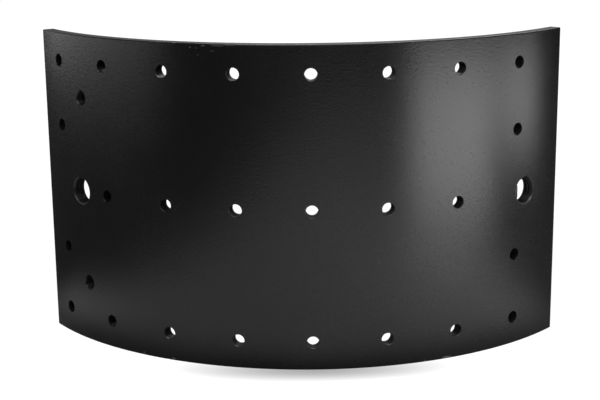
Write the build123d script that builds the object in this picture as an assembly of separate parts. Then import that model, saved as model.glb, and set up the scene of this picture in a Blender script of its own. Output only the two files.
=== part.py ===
from build123d import *
from math import acos, atan2, cos, degrees, hypot, radians, sin
import os

# Unlined brake shoe for a truck drum brake. A rolled steel table carries the lining and
# two flat webs stiffen it from inside. At the anchor end each web has an eye with a pressed
# bush. At the cam end it has an open half-round seat for the roller.
# While it is built the drum axis is Z and the table stands on its side edge at Z = 0.
# Angles are in degrees about that axis, from -Y (the middle rivet column) towards +X.

table_radius = 188.0  # outer face, where the lining sits
table_thickness = 7.2
table_width = 183.0
table_edge_break = 0.8
anchor_end_angle = -57.2
cam_end_angle = 50.8

rivet_hole_diameter = 7.1
rivet_edge_margin = 16.2  # outer rows, from the table's side edges
end_row_offset = 37.0  # extra rows of the two end columns, from the mid plane
column_pitch_angle = 12.92
anchor_column_pitch_angle = 12.4  # last column at the anchor end
side_column_count = 3

gauge_hole_diameter = 14.8
gauge_hole_break = 0.8
anchor_gauge_angle = -45.8
cam_gauge_angle = 41.1

side_hole_diameter = 9.0
side_hole_offset = 55.3  # from the mid plane
side_hole_angle = -44.7

web_thickness = 8.0
web_gap = 46.0  # clear space between the two webs
web_depth = 52.0
web_end_inset_angle = 1.0  # from the table's end to the web's
web_end_radius = 6.0  # where an arm leaves the end of the band
web_throat_radius = 32.0  # where an arm leaves the inner edge
arm_root_width = 30.0  # out from the inner edge
process_hole_diameter = 13.0
process_hole_pitches = 1.5  # rivet pitches from the middle column

anchor_inset = 62.0  # centre of the anchor pin, in from the table's outer radius
anchor_angle = -78.0
anchor_pin_diameter = 28.0
anchor_eye_wall = 6.0
bush_wall = 3.0
bush_stand_out = 1.0
bush_lead_in = 0.6

cam_inset = 65.0  # centre of the roller seat, in from the table's outer radius
cam_angle = 76.5
roller_journal_diameter = 24.0
roller_seat_wall = 6.0
roller_seat_lip = 4.0  # web left beyond the seat's centre line

spring_pin_diameter = 12.0
spring_pin_stand_out = 5.0
spring_pin_break = 1.2
spring_pin_share = 0.35  # along the arm, from its root to the seat

weld_leg = 5.0
weld_length = 28.0  # at the root of the bead
weld_section_shares = [(0, 0), (0, 1), (0.6, 0.6), (1, 0)]
inner_bead_stride_count = 2  # from the first, every second bead has one inside the webs too

overrun = 10.0
touch = 0.01

table_inner_radius = table_radius - table_thickness
mid_height = table_width / 2
web_inner_radius = table_inner_radius - web_depth
web_mid_radius = table_inner_radius - web_depth / 2
web_offset = web_gap / 2 + web_thickness / 2
web_anchor_angle = anchor_end_angle + web_end_inset_angle
web_cam_angle = cam_end_angle - web_end_inset_angle
arm_root_radius = web_inner_radius + arm_root_width / 2
anchor_radius = table_radius - anchor_inset
cam_radius = table_radius - cam_inset
bush_radius = anchor_pin_diameter / 2 + bush_wall
anchor_eye_radius = bush_radius + anchor_eye_wall
roller_seat_radius = roller_journal_diameter / 2
cam_head_radius = roller_seat_radius + roller_seat_wall


def polar(radius, angle):
    """Point at this radius and angle from -Y, in the plane across the drum axis."""
    return Vector(radius * sin(radians(angle)), -radius * cos(radians(angle)))


anchor_centre = polar(anchor_radius, anchor_angle)
anchor_root = polar(arm_root_radius, web_anchor_angle)
cam_centre = polar(cam_radius, cam_angle)
cam_root = polar(arm_root_radius, web_cam_angle)
spring_pin_centre = cam_root + (cam_centre - cam_root) * spring_pin_share


def ring_sector(inner_radius, outer_radius, start_angle, end_angle):
    """Face between two radii and two angles about the drum axis."""
    sweep = end_angle - start_angle
    outer = CenterArc((0, 0), outer_radius, start_angle - 90, sweep)
    inner = CenterArc((0, 0), inner_radius, start_angle - 90, sweep)
    return make_face([outer, inner, Line(inner @ 0, outer @ 0), Line(inner @ 1, outer @ 1)])


def disc(centre, radius):
    return Pos(centre.X, centre.Y) * Circle(radius)


def radial(angle, height):
    """Frame on the table's outer face, with its Z pointing away from the drum axis."""
    foot = polar(table_radius, angle)
    return Plane(origin=(foot.X, foot.Y, height), x_dir=(0, 0, 1), z_dir=foot.normalized())


def radial_hole(angle, height, diameter):
    """Tool for a hole drilled straight through the table."""
    return radial(angle, height) * Cylinder(diameter / 2, 2 * (table_thickness + overrun))


def gauge_hole(angle):
    """Tool for a hole on the mid plane with its outer rim broken."""
    radius = gauge_hole_diameter / 2
    flare = Cone(radius, radius + 2 * gauge_hole_break, 2 * gauge_hole_break)
    return radial_hole(angle, mid_height, gauge_hole_diameter) + radial(angle, mid_height) * flare


def column_angles():
    sides = range(-side_column_count, side_column_count + 1)
    angles = [step * column_pitch_angle for step in sides]
    return [angles[0] - anchor_column_pitch_angle] + angles


def rivet_places():
    """Angle and height of each rivet hole: two edge rows, a middle row, fuller end columns."""
    columns = column_angles()
    ends = (columns[0], columns[-1])
    edge_rows = (rivet_edge_margin, table_width - rivet_edge_margin)
    end_rows = (mid_height - end_row_offset, mid_height + end_row_offset)
    places = [(angle, height) for angle in columns for height in edge_rows]
    places += [(angle, height) for angle in ends for height in end_rows]
    places += [(angle, mid_height) for angle in columns if angle not in ends]
    return places


def make_table():
    face = ring_sector(table_inner_radius, table_radius, anchor_end_angle, cam_end_angle)
    plate = extrude(face, table_width)
    lining_face = plate.faces().sort_by(SortBy.AREA)[-1]
    plate = chamfer(lining_face.edges(), table_edge_break)
    tools = [radial_hole(angle, height, rivet_hole_diameter) for angle, height in rivet_places()]
    tools += [gauge_hole(angle) for angle in (anchor_gauge_angle, cam_gauge_angle)]
    for side in (-1, 1):
        height = mid_height + side * side_hole_offset
        tools.append(radial_hole(side_hole_angle, height, side_hole_diameter))
    return plate - tools


def arm(root, root_radius, head, head_radius):
    """Tapered arm: two discs and the flat between the lines that touch both."""
    run = head - root
    heading = degrees(atan2(run.Y, run.X))
    lean = degrees(acos((root_radius - head_radius) / run.length))
    points = []
    for centre, radius, side in (
        (root, root_radius, 1),
        (head, head_radius, 1),
        (head, head_radius, -1),
        (root, root_radius, -1),
    ):
        points.append(centre + polar(radius, heading + side * lean + 90))
    flat = make_face(Polyline(*points, close=True))
    return disc(root, root_radius) + disc(head, head_radius) + flat


def roller_seat_cut():
    """Half-round seat open towards the cam, with the web cut off square past its lips."""
    reach = cam_head_radius + overrun
    mouth = Rectangle(2 * roller_seat_radius, reach, align=(Align.CENTER, Align.MIN))
    end = Rectangle(2 * reach, reach, align=(Align.CENTER, Align.MIN))
    cut = Circle(roller_seat_radius) + mouth + Pos(0, roller_seat_lip) * end
    return Location((cam_centre.X, cam_centre.Y, 0), (0, 0, cam_angle - 90)) * cut


def corners_at(outline, radius):
    """Corners of an outline at this distance from the drum axis."""
    corners = outline.vertices()
    return [corner for corner in corners if abs(hypot(corner.X, corner.Y) - radius) < touch]


def web_outline():
    """Band under the table with an arm at each end, its inside corners rounded."""
    outline = ring_sector(web_inner_radius, table_inner_radius, web_anchor_angle, web_cam_angle)
    outline += arm(anchor_root, arm_root_width / 2, anchor_centre, anchor_eye_radius)
    outline += arm(cam_root, arm_root_width / 2, cam_centre, cam_head_radius)
    outline = fillet(corners_at(outline, web_inner_radius + arm_root_width), web_end_radius)
    return fillet(corners_at(outline, web_inner_radius), web_throat_radius)


def make_web(side):
    """One web plate with its holes. Side is 1 above the mid plane and -1 below it."""
    outline = web_outline() - roller_seat_cut() - disc(anchor_centre, bush_radius)
    outline -= disc(spring_pin_centre, spring_pin_diameter / 2)
    for end in (-1, 1):
        centre = polar(web_mid_radius, end * process_hole_pitches * column_pitch_angle)
        outline -= disc(centre, process_hole_diameter / 2)
    height = mid_height + side * web_offset - web_thickness / 2
    return Pos(0, 0, height) * extrude(outline, web_thickness)


def make_anchor_bush(side):
    """Plain bush pressed into a web's eye, its bore eased where the pin enters."""
    length = web_thickness + 2 * bush_stand_out
    bush = Cylinder(bush_radius, length) - Cylinder(anchor_pin_diameter / 2, length)
    bore_rims = bush.edges().filter_by(GeomType.CIRCLE).group_by(SortBy.RADIUS)[0]
    bush = chamfer(bore_rims.sort_by(Axis.Z)[-1 if side > 0 else 0], bush_lead_in)
    return Pos(anchor_centre.X, anchor_centre.Y, mid_height + side * web_offset) * bush


def make_spring_pin():
    """Round bar across both webs, which the return spring hooks over."""
    length = web_gap + 2 * web_thickness + 2 * spring_pin_stand_out
    pin = Cylinder(spring_pin_diameter / 2, length)
    pin = chamfer(pin.edges().filter_by(GeomType.CIRCLE), spring_pin_break)
    return Pos(spring_pin_centre.X, spring_pin_centre.Y, mid_height) * pin


def bead_section():
    """Slightly crowned fillet in the corner of the table and a web face, across the bead."""
    corner = Vector(table_inner_radius, 0)
    points = [corner + Vector(-down * weld_leg, up * weld_leg) for down, up in weld_section_shares]
    return Plane.XZ * make_face(Polyline(*points, close=True))


def make_bead():
    """Fillet bead on a web face at height 0, centred on -Y, with both ends sloped off."""
    half_angle = degrees(weld_length / 2 / table_inner_radius)
    bead = Rot(Z=-90 - half_angle) * revolve(bead_section(), Axis.Z, 2 * half_angle)
    for way in (-1, 1):
        foot = polar(table_inner_radius, way * half_angle)
        inward = -foot.normalized()
        along = Vector(-foot.Y, foot.X).normalized() * way
        slope = Plane(origin=foot, z_dir=along + inward + Vector(0, 0, 1))
        bead = split(bead, bisect_by=slope, keep=Keep.BOTTOM)
    return bead


def bead_angles():
    """Middles of the gaps between rivet columns."""
    columns = column_angles()
    return [(first + second) / 2 for first, second in zip(columns, columns[1:])]


def make_beads(side, outward):
    """Row of beads on one face of one web. Outward is 1 on its outer face, -1 on its inner."""
    bead = make_bead()
    if side * outward < 0:
        bead = mirror(bead, Plane.XY)
    height = mid_height + side * (web_offset + outward * web_thickness / 2)
    angles = bead_angles()[:: 1 if outward > 0 else inner_bead_stride_count]
    return Compound([Pos(0, 0, height) * Rot(Z=angle) * bead for angle in angles])


def make_parts():
    parts = {"table": make_table(), "return_spring_pin": make_spring_pin()}
    for name, side in (("upper", 1), ("lower", -1)):
        parts["web_" + name] = make_web(side)
        parts["anchor_bush_" + name] = make_anchor_bush(side)
        parts["weld_beads_outer_" + name] = make_beads(side, 1)
        parts["weld_beads_inner_" + name] = make_beads(side, -1)
    return parts


def write_parts():
    """Writes each piece with the origin moved to the middle of the shoe's footprint."""
    parts = make_parts()
    box = Compound(list(parts.values())).bounding_box()
    footprint = Pos(-box.center().X, -box.center().Y, -box.min.Z)
    os.makedirs("parts", exist_ok=True)
    for name, piece in parts.items():
        export_step(footprint * piece, f"parts/{name}.step")
    print("drum axis at", footprint.position.X, footprint.position.Y)


write_parts()
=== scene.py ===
import random
from math import cos, pi, radians, sin

import bpy
from mathutils import Euler, Matrix, Vector


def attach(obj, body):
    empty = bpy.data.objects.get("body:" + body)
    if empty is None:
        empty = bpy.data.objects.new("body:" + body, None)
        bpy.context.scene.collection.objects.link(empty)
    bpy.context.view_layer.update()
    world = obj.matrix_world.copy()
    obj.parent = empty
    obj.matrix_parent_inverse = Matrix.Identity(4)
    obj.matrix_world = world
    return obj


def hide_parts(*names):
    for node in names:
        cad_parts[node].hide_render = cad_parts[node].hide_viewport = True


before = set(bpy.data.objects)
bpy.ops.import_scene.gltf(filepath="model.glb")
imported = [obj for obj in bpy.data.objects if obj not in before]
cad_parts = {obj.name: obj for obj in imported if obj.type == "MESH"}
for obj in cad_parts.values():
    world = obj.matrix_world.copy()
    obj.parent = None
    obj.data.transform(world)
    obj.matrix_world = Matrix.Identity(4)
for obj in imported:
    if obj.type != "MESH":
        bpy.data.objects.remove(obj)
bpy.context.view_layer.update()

mm = 0.001
sameSpot = 1e-6  # metres within which two vertices are one
print("frame loaded:", len(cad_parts), "nodes")

# the drum axis stands up here, and angles go round it from -Y towards +X
drumAxis = Vector((6.2046, 95.5984, 0)) * mm
midHeight = 91.5 * mm


def onCircle(radius, angle, height):
    turn = radians(angle)
    return drumAxis + Vector((radius * sin(turn), -radius * cos(turn), height))


def deselectAll():
    if bpy.context.object and bpy.context.object.mode != "OBJECT":
        bpy.ops.object.mode_set(mode="OBJECT")
    bpy.ops.object.select_all(action="DESELECT")


def pick(obj):
    deselectAll()
    obj.select_set(True)
    bpy.context.view_layer.objects.active = obj


def editAll(obj):
    pick(obj)
    bpy.ops.object.mode_set(mode="EDIT")
    bpy.ops.mesh.select_all(action="SELECT")


def leaveEdit():
    bpy.ops.object.mode_set(mode="OBJECT")


def nameNew(name):
    obj = bpy.context.object
    obj.name = name
    obj.data.name = name
    return obj


def settle(obj):
    pick(obj)
    bpy.ops.object.transform_apply(location=True, rotation=True, scale=True)


def modify(obj, kind, **settings):
    pick(obj)
    mod = obj.modifiers.new(kind.title(), kind)
    for key, value in settings.items():
        setattr(mod, key, value)
    bpy.ops.object.modifier_apply(modifier=mod.name)


def roundEdges(obj, look):
    limit = radians(look["edgeAngle"])
    width = look["edgeRound"] * mm
    modify(obj, "BEVEL", width=width, segments=look["edgeSegments"], limit_method="ANGLE", angle_limit=limit)


def smoothOff(obj, angle):
    pick(obj)
    bpy.ops.object.shade_smooth_by_angle(angle=radians(angle))


def smoothFlats(obj, angle):
    smoothOff(obj, angle)
    modify(obj, "WEIGHTED_NORMAL", mode="FACE_AREA", keep_sharp=True)


def recalculate(obj):
    editAll(obj)
    bpy.ops.mesh.normals_make_consistent(inside=False)
    leaveEdit()


def joinAll(objects, name):
    deselectAll()
    for obj in objects:
        obj.select_set(True)
    bpy.context.view_layer.objects.active = objects[0]
    if len(objects) > 1:
        bpy.ops.object.join()
    return nameNew(name)


def handOver(obj, node):
    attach(obj, "root")
    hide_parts(node)


class Sock:
    def __init__(self, graph, socket):
        self.graph, self.socket = graph, socket

    def maths(self, operation, *others):
        return self.graph.add("ShaderNodeMath", {"operation": operation}, (self, *others))

    def __add__(self, other):
        return self.maths("ADD", other)

    def __radd__(self, other):
        return self.maths("ADD", other)

    def __sub__(self, other):
        return self.maths("SUBTRACT", other)

    def __rsub__(self, other):
        return self.graph.add("ShaderNodeMath", {"operation": "SUBTRACT"}, (other, self))

    def __mul__(self, other):
        return self.maths("MULTIPLY", other)

    def __rmul__(self, other):
        return self.maths("MULTIPLY", other)

    def clamp(self):
        return self.graph.add("ShaderNodeMath", {"operation": "ADD", "use_clamp": True}, (self, 0.0))


class Graph:
    def __init__(self, tree):
        self.tree = tree
        tree.nodes.clear()

    def add(self, kind, settings=None, values=(), out=0):
        node = self.tree.nodes.new(kind)
        for key, value in (settings or {}).items():
            setattr(node, key, value)
        pairs = values.items() if isinstance(values, dict) else enumerate(values)
        for key, value in pairs:
            if isinstance(value, Sock):
                self.tree.links.new(value.socket, node.inputs[key])
            elif value is not None:
                node.inputs[key].default_value = value
        return Sock(self, node.outputs[out]) if len(node.outputs) else node

    def place(self, out="Object"):
        return self.add("ShaderNodeTexCoord", out=out)

    def rays(self, kind):
        return self.add("ShaderNodeLightPath", out="Is " + kind + " Ray")

    def noise(self, where, scale, detail, roughness=0.55):
        values = {"Vector": where, "Scale": scale, "Detail": detail, "Roughness": roughness}
        return self.add("ShaderNodeTexNoise", None, values)

    def stretch(self, where, scale):
        return self.add("ShaderNodeMapping", None, {"Vector": where, "Scale": scale})

    def band(self, value, low, high):
        # 0 before low and 1 past high, which may be the smaller of the two
        smooth = {"interpolation_type": "SMOOTHSTEP"}
        return self.add("ShaderNodeMapRange", smooth, (value, low, high, 0.0, 1.0))

    def vector(self, operation, first, second=None, out="Value"):
        return self.add("ShaderNodeVectorMath", {"operation": operation}, {0: first, 1: second}, out=out)

    def along(self, where, axis):
        return self.add("ShaderNodeSeparateXYZ", None, {"Vector": where}, out=axis)

    def oval(self, where, centre, turn, reach):
        # 0 at the centre and 1 at the reach, which is measured along turned axes
        squeeze = {"Vector": where, "Location": centre, "Rotation": (0, 0, radians(turn)), "Scale": reach}
        inside = self.add("ShaderNodeMapping", {"vector_type": "TEXTURE"}, squeeze)
        return self.vector("LENGTH", inside)

    def most(self, masks):
        top = None
        for mask in masks:
            top = mask if top is None else top.maths("MAXIMUM", mask)
        return top

    def mixColour(self, factor, first, second):
        return self.add("ShaderNodeMix", {"data_type": "RGBA"}, {0: factor, 6: first, 7: second}, out=2)

    def bump(self, height, distance, under=None):
        return self.add("ShaderNodeBump", None, {"Height": height, "Distance": distance, "Normal": under})

    def principled(self, colour, roughness, relief, more):
        values = {"Base Color": colour, "Roughness": roughness, "Normal": relief, **more}
        return self.add("ShaderNodeBsdfPrincipled", None, values)


def newMaterial(name):
    mat = bpy.data.materials.new(name)
    mat.use_nodes = True
    return mat, Graph(mat.node_tree)


def coat(obj, mat):
    obj.data.materials.clear()
    obj.data.materials.append(mat)


cameraLook = {
    "place": (0.78, -807.8, 271.8),  # mm
    "heading": -0.086,
    "down": 13.632,
    "roll": 0.612,
    "lens": 81.14,
    "sensor": 36.0,
    "clip": (0.01, 50.0),
}


def setCamera():
    look = cameraLook
    lens = bpy.data.cameras.new("productCamera")
    lens.lens = look["lens"]
    lens.sensor_width = look["sensor"]
    lens.clip_start, lens.clip_end = look["clip"]
    camera = bpy.data.objects.new("productCamera", lens)
    bpy.context.scene.collection.objects.link(camera)
    aim = Euler((radians(90 - look["down"]), 0, radians(-look["heading"]))).to_matrix()
    aim = aim @ Matrix.Rotation(radians(-look["roll"]), 3, "Z")
    camera.matrix_world = Matrix.Translation(Vector(look["place"]) * mm) @ aim.to_4x4()
    bpy.context.scene.camera = camera


setCamera()
print("camera set")

# satin black paint: a noise is given as its scale, its detail and, if it isn't the usual one, its roughness
noiseMiddle = 0.5

paintLook = {
    "colour": (0.0042, 0.0043, 0.0044, 1),
    "roughness": 0.25,
    "shine": 0.27,
    "dustColour": (0.011, 0.011, 0.0112, 1),
    "cloud": (9.0, 4.0),
    "cloudBand": (0.35, 0.75),
    "cloudDust": 0.5,
    "cloudRoughness": 0.12,
    "specks": (900.0, 1.0),
    "speckBand": (0.70, 0.78),
    "speckDust": 0.35,
    "mottle": (1250.0, 1.0),
    "mottleRoughness": 0.16,
    "peel": (840.0, 2.0),
    "peelStretch": (1.2, 1.2, 1.0),
    "peelDepth": 0.000088,
    "grit": (2600.0, 2.0),
    "gritDepth": 0.00003,
    # painted highlight: the lower rims of the gauge holes are lightened to this colour in patches
    "rimHighlight": (0.034, 0.034, 0.034, 1),
    "rimHighlightBand": (0.30, 0.50),
    "bareSteel": (0.085, 0.084, 0.082, 1),
    "bareBand": (1.0, 0.5),
    "bareRoughness": 0.12,
    "bareMetal": 0.3,
    "ragged": (1500.0, 3.0, 0.7),
    "raggedReach": 2.2,
}

# a painted highlight on the lower rim of a hole, lighter where light falls on its chamfer
rimHighlightLook = {
    "through": 10.0,  # metres along the hole's axis, so without an end
    "full": 0.4,  # share of the rim's breadth at which it is full
    "end": 1.3,  # share of the breadth at which it is gone
    "drop": 0.7,  # share of the radius below the centre at which it is full
}

boreLook = {
    # a little darker than the face paint: painted shade in the holes
    "colour": (0.0035, 0.0035, 0.0036, 1),
    "roughness": 0.42,
    "shine": 0.06,
    "speckColour": (0.05, 0.05, 0.05, 1),
    "specks": (1400.0, 2.0),
    "speckBand": (0.60, 0.70),
    "depths": (0.45, 0.85, 0.25),  # mm below the outer face, to the start and full, and above the inner face
}

bronzeLook = {
    "colour": (0.56, 0.36, 0.15, 1),
    "roughness": 0.30,
    "tarnishColour": (0.36, 0.21, 0.09, 1),
    "tarnish": (160.0, 4.0),
    "tarnishBand": (0.35, 0.7),
    "tarnishRoughness": 0.22,
    "rings": (1.0, 2.0),
    "ringStretch": (40.0, 40.0, 2600.0),
    "ringDepth": 0.00003,
}


def makePaint(name, grain=1.0, walls=None, scuffs=(), rimHighlights=()):
    look = paintLook
    mat, graph = newMaterial(name)
    where = graph.place()
    cloud = graph.noise(where, *look["cloud"])
    peel = graph.noise(graph.stretch(where, look["peelStretch"]), *look["peel"])
    grit = graph.noise(where, *look["grit"])
    mottle = graph.noise(where, *look["mottle"])
    specks = graph.band(graph.noise(where, *look["specks"]), *look["speckBand"])
    dust = graph.band(cloud, *look["cloudBand"]) * look["cloudDust"] + specks * look["speckDust"]
    colour = graph.mixColour(dust, look["colour"], look["dustColour"])
    roughness = look["roughness"] + (cloud - noiseMiddle) * look["cloudRoughness"]
    roughness = roughness + (mottle - noiseMiddle) * (look["mottleRoughness"] * grain)
    more = {"Specular IOR Level": look["shine"]}
    # painted highlight on the lower rims of the gauge holes
    if rimHighlights:
        rimHighlight = graph.most(lowerRimHighlight(graph, where, *rim) for rim in rimHighlights)
        rimHighlight = rimHighlight * graph.band(grit, *look["rimHighlightBand"])
        colour = graph.mixColour(rimHighlight, colour, look["rimHighlight"])
    if scuffs:
        ragged = (graph.noise(where, *look["ragged"]) - noiseMiddle) * look["raggedReach"]
        patches = []
        for *spot, share in scuffs:
            patches.append(graph.band(graph.oval(where, *spot) + ragged, *look["bareBand"]) * share)
        bare = graph.most(patches)
        colour = graph.mixColour(bare, colour, look["bareSteel"])
        roughness = roughness + bare * look["bareRoughness"]
        more["Metallic"] = bare * look["bareMetal"]
    relief = graph.bump(peel, look["peelDepth"])
    relief = graph.bump(grit, look["gritDepth"] * grain, under=relief)
    surface = graph.principled(colour, roughness, relief, more)
    # the hole walls get a duller surface whose darker colour is painted shade
    if walls:
        inBore = boreMask(graph, where, *walls)
        surface = graph.add("ShaderNodeMixShader", None, (inBore, surface, boreSurface(graph, where, relief)))
    graph.add("ShaderNodeOutputMaterial", None, {"Surface": surface})
    return mat


def lowerRimHighlight(graph, where, centre, turn, radius, breadth):
    # 1 on the lower rim of a hole whose axis lies flat, turned from Y, where the painted highlight goes
    gap = graph.oval(where, centre, turn, (radius, rimHighlightLook["through"], radius))
    share = breadth / radius
    below = graph.band(graph.along(where, "Z"), centre[2], centre[2] - radius * rimHighlightLook["drop"])
    start = graph.band(gap, 1.0, 1.0 + share * rimHighlightLook["full"])
    end = graph.band(gap, 1.0 + share * rimHighlightLook["end"], 1.0 + share)
    return start * end * below


def boreMask(graph, where, inner, outer):
    # 1 on the walls of the plate's holes, told by how far they are from the drum axis
    flat = graph.vector("MULTIPLY", where, (1, 1, 0), out="Vector")
    reach = graph.vector("DISTANCE", flat, drumAxis)
    start, full, rise = boreLook["depths"]
    underFace = graph.band(reach, (outer - start) * mm, (outer - full) * mm)
    return underFace * graph.band(reach, inner * mm, (inner + rise) * mm)


def boreSurface(graph, where, relief):
    # thin dull paint with bare specks, its colour a little darker than the face's as painted shade in the
    # holes
    look = boreLook
    specks = graph.band(graph.noise(where, *look["specks"]), *look["speckBand"])
    colour = graph.mixColour(specks, look["colour"], look["speckColour"])
    return graph.principled(colour, look["roughness"], relief, {"Specular IOR Level": look["shine"]})


def makeBronze():
    look = bronzeLook
    mat, graph = newMaterial("turnedBronze")
    where = graph.place()
    rings = graph.noise(graph.stretch(where, look["ringStretch"]), *look["rings"])
    tarnish = graph.noise(where, *look["tarnish"])
    colour = graph.mixColour(graph.band(tarnish, *look["tarnishBand"]), look["colour"], look["tarnishColour"])
    roughness = look["roughness"] + tarnish * look["tarnishRoughness"]
    relief = graph.bump(rings, look["ringDepth"])
    surface = graph.principled(colour, roughness, relief, {"Metallic": 1.0})
    graph.add("ShaderNodeOutputMaterial", None, {"Surface": surface})
    return mat


# the table is a rolled plate with its holes drilled square to its outer face, in mm and degrees
tableLook = {
    "radius": 188.0,
    "thickness": 7.2,
    "width": 183.0,
    "ends": (-57.1, 50.7),
    "strips": 300,
    "edgeRound": 0.7,
    "edgeSegments": 3,
    "edgeAngle": 40,
    "smoothAngle": 32,
    "columns": (-51.16, -38.76, -25.84, -12.92, 0.0, 12.92, 25.84, 38.76),
    "edgeRow": 75.3,
    "endRow": 37.0,
    "rivetHole": 7.1,
    "rimBreak": 0.15,
    "gaugeHoles": (-45.8, 41.1),
    "gaugeHole": 14.9,
    "gaugeRimBreak": 0.8,
    "sideHoles": -44.7,
    "sideHole": 9.0,
    "sideRow": 55.3,
    "ridgePitch": 2.0,
    "ridgeDepth": 0.9,
    "drillPast": 3.0,
    "plainSides": 48,
    "ridgedSides": 64,
}

scuffThrough = 3.0  # mm that a scuff reaches in from the face

edgeScuffs = (  # angle, height, length, depth in mm, share of bare steel
    (-25.9, 182.9, 9.0, 0.5, 0.35),
    (-23.3, 182.8, 3.6, 0.7, 0.75),
    (-20.2, 180.7, 1.4, 1.3, 0.5),
    (-19.2, 180.5, 1.6, 0.8, 0.3),
    (-17.9, 181.8, 2.8, 0.8, 0.8),
    (-15.3, 181.9, 9.0, 0.7, 0.55),
    (-13.2, 182.3, 7.0, 0.6, 0.5),
    (-16.3, 179.1, 2.6, 0.9, 0.25),
    (-18.9, 176.7, 1.8, 0.9, 0.2),
    (-31.3, 1.3, 1.3, 2.0, 0.7),
    (-25.2, 1.1, 2.8, 1.5, 1.0),
    (19.8, 0.8, 2.0, 1.1, 0.7),
    (24.0, 0.9, 6.2, 1.5, 1.0),
)


def drillCutter(name, radius, rimBreak, ridged):
    # a turned plug along Z, its origin where it meets the table's outer face
    look = tableLook
    depth, past = look["thickness"], look["drillPast"]
    rings = [(past, radius + rimBreak + past), (0.0, radius + rimBreak), (-rimBreak, radius)]
    if ridged:
        pitch, bite = look["ridgePitch"], look["ridgeDepth"]
        height = -rimBreak
        while height - pitch > -depth:
            rings += [(height - pitch / 2, radius - bite), (height - pitch, radius)]
            height -= pitch
    rings += [(-depth - past, radius)]
    sides = look["ridgedSides"] if ridged else look["plainSides"]
    top, widest = rings[0]
    bpy.ops.mesh.primitive_circle_add(vertices=sides, radius=widest * mm, fill_type="NGON",
                                      location=(0, 0, 0))
    cutter = nameNew(name)
    editAll(cutter)
    bpy.ops.transform.translate(value=(0, 0, top * mm))
    for (upper, wide), (lower, narrow) in zip(rings, rings[1:]):
        bpy.ops.mesh.extrude_region_move(TRANSFORM_OT_translate={"value": (0, 0, (lower - upper) * mm)})
        share = narrow / wide
        bpy.ops.transform.resize(value=(share, share, 1), center_override=(0, 0, lower * mm))
    leaveEdit()
    recalculate(cutter)
    return cutter


def placeCutter(master, angle, height):
    copy = master.copy()
    copy.data = master.data.copy()
    bpy.context.scene.collection.objects.link(copy)
    foot = onCircle(tableLook["radius"] * mm, angle, midHeight + height * mm)
    outward = (foot - drumAxis) * Vector((1, 1, 0))
    copy.matrix_world = Matrix.Translation(foot) @ outward.to_track_quat("Z", "Y").to_matrix().to_4x4()
    return copy


def makePlate():
    look = tableLook
    start, end = look["ends"]
    bpy.ops.mesh.primitive_plane_add(size=1, location=(0, 0, 0))
    plate = nameNew("tablePlate")
    plate.scale = (look["thickness"] * mm, look["width"] * mm, 1)
    plate.rotation_euler = Euler((pi / 2, 0, radians(start - 90)))
    plate.location = onCircle((look["radius"] - look["thickness"] / 2) * mm, start, midHeight)
    settle(plate)
    editAll(plate)
    bpy.ops.mesh.spin(steps=look["strips"], angle=radians(start - end), center=drumAxis, axis=(0, 0, 1))
    bpy.ops.mesh.select_all(action="SELECT")
    bpy.ops.mesh.remove_doubles(threshold=sameSpot)
    leaveEdit()
    recalculate(plate)
    roundEdges(plate, look)
    return plate


def drillTable(plate):
    look = tableLook
    rivet = drillCutter("rivetDrill", look["rivetHole"] / 2, look["rimBreak"], False)
    gauge = drillCutter("gaugeDrill", look["gaugeHole"] / 2, look["gaugeRimBreak"], True)
    side = drillCutter("sideDrill", look["sideHole"] / 2, look["rimBreak"], True)
    drills = []
    endColumns = (look["columns"][0], look["columns"][-1])
    for angle in look["columns"]:
        rows = [-look["edgeRow"], look["edgeRow"]]
        rows += [-look["endRow"], look["endRow"]] if angle in endColumns else [0.0]
        drills += [placeCutter(rivet, angle, row) for row in rows]
    drills += [placeCutter(gauge, angle, 0.0) for angle in look["gaugeHoles"]]
    drills += [placeCutter(side, look["sideHoles"], way * look["sideRow"]) for way in (-1, 1)]
    drill = joinAll(drills, "allDrills")
    modify(plate, "BOOLEAN", operation="DIFFERENCE", solver="EXACT", object=drill)
    for spare in (rivet, gauge, side, drill):
        bpy.data.objects.remove(spare)
    smoothFlats(plate, look["smoothAngle"])


def scuffPlaces():
    places = []
    for angle, height, length, depth, share in edgeScuffs:
        centre = onCircle(tableLook["radius"] * mm, angle, height * mm)
        reach = (length / 2 * mm, scuffThrough * mm, depth / 2 * mm)
        places.append((centre, angle, reach, share))
    return places


# where the painted rim highlights go: the two gauge holes
def rimHighlightPlaces():
    look = tableLook
    places = []
    for angle in look["gaugeHoles"]:
        centre = onCircle(look["radius"] * mm, angle, midHeight)
        places.append((centre, angle, look["gaugeHole"] / 2 * mm, look["gaugeRimBreak"] * mm))
    return places


table = makePlate()
drillTable(table)
plateWalls = (tableLook["radius"] - tableLook["thickness"], tableLook["radius"])
coat(table, makePaint("satinPaint", walls=plateWalls, scuffs=scuffPlaces(), rimHighlights=rimHighlightPlaces()))
handOver(table, "table")
print("table done:", len(table.data.polygons), "faces")

# the webs, bushes and spring pin are the CAD shapes with their edges eased
insideGrain = 1.3
plainPaint = makePaint("satinPaintInside", grain=insideGrain)
bronze = makeBronze()

easeLook = {"flatAngle": 0.5, "edgeAngle": 35, "smoothAngle": 30}
webLook = {**easeLook, "edgeRound": 0.6, "edgeSegments": 3}
bushLook = {**easeLook, "edgeRound": 0.25, "edgeSegments": 2}
pinLook = {**easeLook, "edgeRound": 0.3, "edgeSegments": 2}


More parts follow.
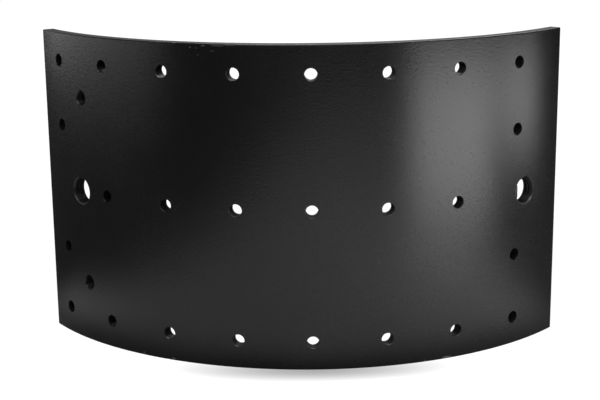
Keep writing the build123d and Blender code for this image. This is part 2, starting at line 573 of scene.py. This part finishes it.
def easeEdges(node, name, look, mat):
    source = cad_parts[node]
    piece = source.copy()
    piece.data = source.data.copy()
    bpy.context.scene.collection.objects.link(piece)
    piece.parent = None
    for key in list(piece.keys()):
        del piece[key]
    pick(piece)
    nameNew(name)
    editAll(piece)
    bpy.ops.mesh.customdata_custom_splitnormals_clear()
    bpy.ops.mesh.remove_doubles(threshold=sameSpot)
    bpy.ops.mesh.dissolve_limited(angle_limit=radians(look["flatAngle"]))
    leaveEdit()
    roundEdges(piece, look)
    smoothFlats(piece, look["smoothAngle"])
    coat(piece, mat)
    handOver(piece, node)


for side in ("upper", "lower"):
    easeEdges("web_" + side, "web" + side.title(), webLook, plainPaint)
    easeEdges("anchor_bush_" + side, "anchorBush" + side.title(), bushLook, bronze)
easeEdges("return_spring_pin", "returnSpringPin", pinLook, plainPaint)
print("webs, bushes and pin done")

# a weld bead is a rippled fillet in a corner between a web and the table, in mm
beadLook = {
    "radius": 180.8,
    "run": 27.0,
    "rings": 34,
    "around": 18,
    "section": 3.9,
    "sink": 0.5,
    "bow": 0.9,
    "endSize": 0.35,
    "endRise": 2.6,
    "ripple": 0.05,
    "rippleRange": (0.6, 1.2),
    "sizeRange": (0.985, 1.015),
    "smoothAngle": 60,
}

beadPlaces = {
    "first": -44.96,
    "second": -32.3,
    "step": 12.92,
    "steps": 6,
    "webOffset": 27.0,
    "webThickness": 8.0,
    "outerSeed": 40,
    "innerSeed": 100,
    "sideSeed": 20,
}


def beadSizes(seed):
    # the size at each ring: small at both ends, and rippled in between
    look = beadLook
    dice = random.Random(seed)
    sizes = []
    for ring in range(look["rings"] + 1):
        along = ring / look["rings"]
        rounded = min(1.0, look["endSize"] + look["endRise"] * min(along, 1 - along) ** 0.5)
        ripple = 1 + look["ripple"] * (1 if ring % 2 else -1) * dice.uniform(*look["rippleRange"])
        sizes.append(rounded * ripple * dice.uniform(*look["sizeRange"]))
    return sizes


def makeBead(seed):
    # a disc in the corner, bowed forwards, is swept round the drum axis ring by ring
    look = beadLook
    section = look["section"] * mm
    half = look["run"] / look["radius"] / 2
    turn = 2 * half / look["rings"]
    corner = onCircle((look["radius"] - look["sink"]) * mm, 0, look["sink"] * mm)
    bpy.ops.mesh.primitive_circle_add(vertices=look["around"], radius=section, fill_type="NGON",
                                      location=(0, 0, 0), rotation=(0, pi / 2, 0))
    bead = nameNew("weldBead")
    bead.location = corner
    settle(bead)
    outOfCorner = Vector((0, 1, 1)).normalized()
    for vertex in bead.data.vertices:
        facing = (vertex.co - corner).dot(outOfCorner) / section
        vertex.co.x += look["bow"] * mm * max(0.0, facing)
    back = Matrix.Rotation(-half, 3, "Z")
    bead.data.transform(Matrix.Translation(drumAxis) @ back.to_4x4() @ Matrix.Translation(-drumAxis))
    centre = drumAxis + back @ (corner - drumAxis)
    editAll(bead)
    sizes = beadSizes(seed)
    bpy.ops.transform.resize(value=(sizes[0],) * 3, center_override=centre)
    # the rotate operator turns the other way round from a rotation matrix
    onward = Matrix.Rotation(turn, 3, "Z")
    for before, after in zip(sizes, sizes[1:]):
        bpy.ops.mesh.extrude_region_move(TRANSFORM_OT_translate={"value": (0, 0, 0)})
        bpy.ops.transform.rotate(value=-turn, orient_axis="Z", center_override=drumAxis)
        centre = drumAxis + onward @ (centre - drumAxis)
        bpy.ops.transform.resize(value=(after / before,) * 3, center_override=centre)
    leaveEdit()
    recalculate(bead)
    return bead


def beadRow(name, node, side, outward, angles, seed):
    flip = side * outward < 0
    height = midHeight + side * (beadPlaces["webOffset"] + outward * beadPlaces["webThickness"] / 2) * mm
    beads = []
    for number, angle in enumerate(angles):
        bead = makeBead(seed + number)
        move = Matrix.Translation(drumAxis + Vector((0, 0, height))) @ Matrix.Rotation(radians(angle), 4, "Z")
        if flip:
            move = move @ Matrix.Scale(-1, 4, (0, 0, 1))
        bead.data.transform(move @ Matrix.Translation(-drumAxis))
        recalculate(bead)
        beads.append(bead)
    row = joinAll(beads, name)
    smoothOff(row, beadLook["smoothAngle"])
    coat(row, plainPaint)
    handOver(row, node)


gaps = [beadPlaces["first"]]
gaps += [beadPlaces["second"] + beadPlaces["step"] * number for number in range(beadPlaces["steps"])]
for half, side in (("Upper", 1), ("Lower", -1)):
    seeds = [beadPlaces[row] + beadPlaces["sideSeed"] * side for row in ("outerSeed", "innerSeed")]
    beadRow("weldBeadsOuter" + half, "weld_beads_outer_" + half.lower(), side, 1, gaps, seeds[0])
    beadRow("weldBeadsInner" + half, "weld_beads_inner_" + half.lower(), side, -1, gaps[::2], seeds[1])
print("weld beads done")

# the floor: pale paper round the shoe, fading to dark further out as a painted falloff of the light, darkened
# near its foot as painted shade, and white to the camera but for a painted shadow at its foot
stageLook = {
    "floorSize": 14,
    "pale": (0.82, 0.82, 0.82, 1),
    "paintedDark": (0.05, 0.05, 0.05, 1),
    "paper": (Vector((75, -330, 0)) * mm, 14.5, Vector((305, 620, 1000)) * mm),  # centre, turn, reach
    # the paper fades to dark as a painted falloff of the light away from the shoe
    "paintedFalloffBand": (0.75, 1.10),
    "paintedFalloffCuts": (  # way, and where along it the paper starts to fade into the painted dark and has faded
        ((0.47, 0.88, 0.0), 0.020, 0.110),
        ((-0.47, 0.88, 0.0), 0.060, 0.150),
    ),
    "shade": (Vector((6, -94, 0)) * mm, 0.0, Vector((122, 29, 1000)) * mm),  # centre, turn, reach
    "shadeGlow": 0.34,
    "footShade": (188.0, 246.0, 0.90),  # start and end in mm from the drum axis, and depth
    "floorGloss": 0.12,
    "room": 0.10,
    "backdrop": (0.05, 0.45),  # how far back a direction points where the white starts and is full
    "backdropGloss": 0.30,
}

white = (1, 1, 1, 1)
black = (0, 0, 0, 1)


def makeFloor():
    look = stageLook
    bpy.ops.mesh.primitive_plane_add(size=look["floorSize"], location=(0, 0, 0))
    floor = nameNew("studioFloor")
    mat, graph = newMaterial("paleFloor")
    where = graph.place()
    # painted falloff: the floor darkens away from the shoe, outside an oval and past two cuts
    edges = [graph.band(graph.oval(where, *look["paper"]), *look["paintedFalloffBand"])]
    for way, start, end in look["paintedFalloffCuts"]:
        edges.append(graph.band(graph.vector("DOT_PRODUCT", where, way), start, end))
    paintedFalloff = graph.most(edges)
    offShade = graph.band(graph.oval(where, *look["shade"]), 0.0, 1.0)
    near, far, depth = look["footShade"]
    atFoot = 1.0 - graph.band(graph.vector("DISTANCE", where, drumAxis), near * mm, far * mm)
    colour = graph.mixColour(paintedFalloff, look["pale"], look["paintedDark"])
    colour = graph.mixColour(atFoot * depth, colour, black)
    glow = look["shadeGlow"] + offShade * (1.0 - look["shadeGlow"])
    glossy = graph.rays("Glossy") * (1.0 - paintedFalloff) * look["floorGloss"]
    seen = graph.rays("Camera") + graph.rays("Transmission") + glossy
    shine = graph.add("ShaderNodeEmission", None, {"Color": white, "Strength": glow * seen})
    matt = graph.add("ShaderNodeBsdfDiffuse", None, {"Color": colour})
    both = graph.add("ShaderNodeAddShader", None, (shine, matt))
    graph.add("ShaderNodeOutputMaterial", None, {"Surface": both})
    coat(floor, mat)


def makeRoom():
    look = stageLook
    world = bpy.data.worlds.new("studio")
    bpy.context.scene.world = world
    world.use_nodes = True
    graph = Graph(world.node_tree)
    toBack = graph.along(graph.place("Generated"), "Y")
    backdrop = graph.band(toBack, *look["backdrop"]) * look["backdropGloss"]
    seen = (graph.rays("Camera") + graph.rays("Transmission") + graph.rays("Glossy") * backdrop).clamp()
    dim = graph.add("ShaderNodeBackground", None, {"Color": white, "Strength": look["room"]})
    bright = graph.add("ShaderNodeBackground", None, {"Color": white, "Strength": 1.0})
    sky = graph.add("ShaderNodeMixShader", None, (seen, dim, bright))
    graph.add("ShaderNodeOutputWorld", None, {"Surface": sky})


lamps = (  # name, place, aim, size, power
    ("rightSoftbox", (0.33, -0.246, 0.076), (0.08, -0.09, 0.076), (0.222, 0.127), 0.68),
    ("sideSoftbox", (0.50, -0.085, 0.086), (0.14, -0.045, 0.086), (0.165, 0.09), 0.27),
    ("leftSoftbox", (-0.84, -0.06, 0.17), (-0.10, -0.06, 0.17), (0.94, 0.18), 1.4),
    ("frontSoftbox", (0.10, -0.95, 1.60), (0.0, -0.15, 0.0), (1.80, 1.20), 42.0),
    ("backSoftbox", (0.30, 1.20, 1.30), (0.0, 0.0, 0.05), (1.20, 0.80), 22.0),
)


def hangLamps():
    for name, place, target, size, power in lamps:
        light = bpy.data.lights.new(name, "AREA")
        light.shape = "RECTANGLE"
        light.size, light.size_y = size
        light.energy = power
        lamp = bpy.data.objects.new(name, light)
        bpy.context.scene.collection.objects.link(lamp)
        aimLine = Vector(target) - Vector(place)
        facing = aimLine.to_track_quat("-Z", "Y").to_matrix()
        lamp.matrix_world = Matrix.Translation(Vector(place)) @ facing.to_4x4()


makeFloor()
makeRoom()
hangLamps()
bpy.context.scene.view_settings.view_transform = "Standard"

print("stage done")
